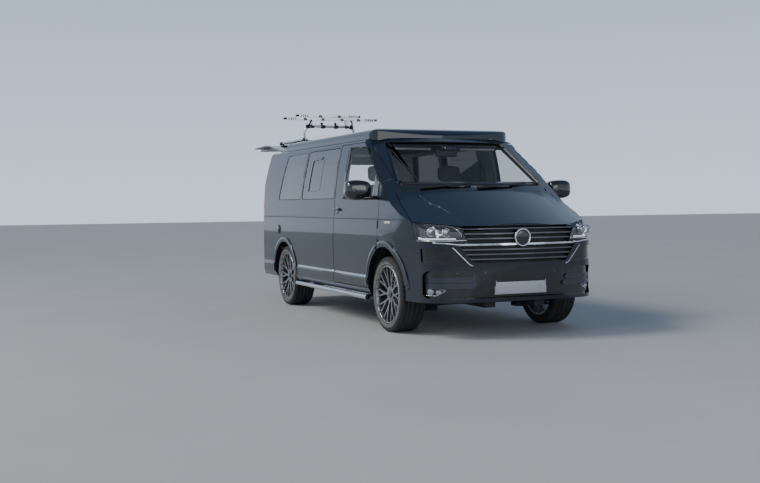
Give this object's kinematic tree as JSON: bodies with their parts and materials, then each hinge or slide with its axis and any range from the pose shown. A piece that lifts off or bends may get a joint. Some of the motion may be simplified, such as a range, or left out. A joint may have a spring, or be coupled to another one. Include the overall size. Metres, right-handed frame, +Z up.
{
  "type": "camper van",
  "caption": "Camper van with a raising roof, cab doors, bonnet and a raised tailgate that carries a bicycle rack on gas struts.",
  "frame": {"origin": "on the ground, below the centre of the van's bounding box", "axes": "+X towards the nose, +Y towards the van's left side, +Z up"},
  "size_m": [5.9768, 2.456, 2.347],
  "materials": {
    "body_paint": "dark slate blue gloss metallic",
    "trim_black": "grained black",
    "grille_grey": "satin grey slats",
    "lamp_housing": "dark chrome",
    "lens_clear": "clear",
    "glass_clear": "lightly tinted",
    "canvas": "folded bellows cloth",
    "glass_dark": "privacy tint",
    "lens_red": "red lamp cover",
    "bright_steel": "polished",
    "gloss_black": "gloss black",
    "rack_silver": "anodised silver",
    "strut_black": "black",
    "underbody": "dark coated",
    "dash_grey": "grained grey",
    "dash_black": "black",
    "seat_fabric": "dark woven",
    "cabinet": "light grey laminate",
    "engine_grey": "grey",
    "exhaust_steel": "dull",
    "tyre": "rubber",
    "rim_grey": "gunmetal gloss",
    "disc_steel": "turned"
  },
  "bodies": {
    "body": {"cowl": "trim_black", "front_wings": "body_paint", "front_bumper": "body_paint", "bumper_trims": "gloss_black", "grille": "grille_grey", "headlamps": "lamp_housing", "headlamp_lenses": "lens_clear", "windscreen": "glass_clear", "wipers": "trim_black", "roof_frame": "body_paint", "roof_canvas": "canvas", "side_panel_left": "body_paint", "side_panel_right": "body_paint", "sliding_door": "body_paint", "side_windows": "glass_dark", "rear_bumper": "body_paint", "tail_lamps": "lens_red", "side_bars": "bright_steel", "floor_pan": "underbody", "dashboard": "dash_grey", "steering_wheel": "dash_black", "front_seats": "seat_fabric", "rear_bench": "seat_fabric", "kitchen_cabinet": "cabinet", "engine_block": "engine_grey", "exhaust": "exhaust_steel", "front_subframe": "underbody", "rear_axle": "underbody"},
    "bonnet": {"bonnet": "body_paint"},
    "pop_top": {"pop_top": "body_paint"},
    "door_left": {"door_left": "body_paint", "door_glass_left": "glass_clear", "mirror_left": "gloss_black"},
    "door_right": {"door_right": "body_paint", "door_glass_right": "glass_clear", "mirror_right": "gloss_black"},
    "tailgate": {"tailgate": "body_paint", "tailgate_window": "glass_dark", "rack_frame": "rack_silver", "rack_rails": "rack_silver"},
    "strut_tube_left": {"strut_tube_left": "strut_black"},
    "strut_tube_right": {"strut_tube_right": "strut_black"},
    "strut_rod_left": {"strut_rod_left": "bright_steel"},
    "strut_rod_right": {"strut_rod_right": "bright_steel"},
    "knuckle_left": {"knuckle_left": "underbody"},
    "knuckle_right": {"knuckle_right": "underbody"},
    "wheel_front_left": {"tyre_front_left": "tyre", "rim_front_left": "rim_grey", "brake_disc_front_left": "disc_steel"},
    "wheel_front_right": {"tyre_front_right": "tyre", "rim_front_right": "rim_grey", "brake_disc_front_right": "disc_steel"},
    "wheel_rear_left": {"tyre_rear_left": "tyre", "rim_rear_left": "rim_grey", "brake_disc_rear_left": "disc_steel"},
    "wheel_rear_right": {"tyre_rear_right": "tyre", "rim_rear_right": "rim_grey", "brake_disc_rear_right": "disc_steel"}
  },
  "joints": [
    {"name": "bonnet_hinge", "type": "hinge", "parent": "body", "child": "bonnet", "pos_m": [2.085, 0, 1.302], "axis": [0, -1, 0], "range_deg": [0, 45]},
    {"name": "pop_top_hinge", "type": "hinge", "parent": "body", "child": "pop_top", "pos_m": [-1.364, 0, 1.858], "axis": [0, -1, 0], "range_deg": [0, 20]},
    {"name": "door_left_hinge", "type": "hinge", "parent": "body", "child": "door_left", "pos_m": [1.928, 0.952, 0.78], "axis": [0, 0.0349, -0.9994], "range_deg": [0, 68]},
    {"name": "door_right_hinge", "type": "hinge", "parent": "body", "child": "door_right", "pos_m": [1.928, -0.952, 0.78], "axis": [0, 0.0349, 0.9994], "range_deg": [0, 68]},
    {"name": "tailgate_hinge", "type": "hinge", "parent": "body", "child": "tailgate", "pos_m": [-1.742, 0, 1.852], "axis": [0, -1, 0], "range_deg": [0, 88]},
    {"name": "strut_left_pivot", "type": "hinge", "parent": "body", "child": "strut_tube_left", "pos_m": [-1.838, 0.64, 1.24], "axis": [0, 1, 0], "range_deg": [0, 24.32]},
    {"name": "strut_left_slide", "type": "slide", "parent": "strut_tube_left", "child": "strut_rod_left", "axis": [0.1714, 0, -0.9852], "range_m": [0, 0.1787]},
    {"name": "strut_right_pivot", "type": "hinge", "parent": "body", "child": "strut_tube_right", "pos_m": [-1.838, -0.64, 1.24], "axis": [0, 1, 0], "range_deg": [0, 24.32]},
    {"name": "strut_right_slide", "type": "slide", "parent": "strut_tube_right", "child": "strut_rod_right", "axis": [0.1714, 0, -0.9852], "range_m": [0, 0.1787]},
    {"name": "steer_left", "type": "hinge", "parent": "body", "child": "knuckle_left", "pos_m": [2.09, 0.77, 0.35], "axis": [0, 0, 1], "range_deg": [-35, 35]},
    {"name": "steer_right", "type": "hinge", "parent": "body", "child": "knuckle_right", "pos_m": [2.09, -0.77, 0.35], "axis": [0, 0, 1], "range_deg": [-35, 35]},
    {"name": "wheel_front_left_spin", "type": "hinge", "parent": "knuckle_left", "child": "wheel_front_left", "pos_m": [2.09, 0.802, 0.35], "axis": [0, 1, 0], "continuous": true},
    {"name": "wheel_front_right_spin", "type": "hinge", "parent": "knuckle_right", "child": "wheel_front_right", "pos_m": [2.09, -0.802, 0.35], "axis": [0, 1, 0], "continuous": true},
    {"name": "wheel_rear_left_spin", "type": "hinge", "parent": "body", "child": "wheel_rear_left", "pos_m": [-0.91, 0.802, 0.35], "axis": [0, 1, 0], "continuous": true},
    {"name": "wheel_rear_right_spin", "type": "hinge", "parent": "body", "child": "wheel_rear_right", "pos_m": [-0.91, -0.802, 0.35], "axis": [0, 1, 0], "continuous": true}
  ],
  "couplings": [
    {"joint": "strut_left_pivot", "follows": "tailgate_hinge", "ratio": 0.27612},
    {"joint": "strut_left_slide", "follows": "tailgate_hinge", "m_per_rad": 0.11625},
    {"joint": "strut_right_pivot", "follows": "tailgate_hinge", "ratio": 0.27612},
    {"joint": "strut_right_slide", "follows": "tailgate_hinge", "m_per_rad": 0.11625},
    {"joint": "steer_right", "follows": "steer_left", "ratio": 1}
  ]
}
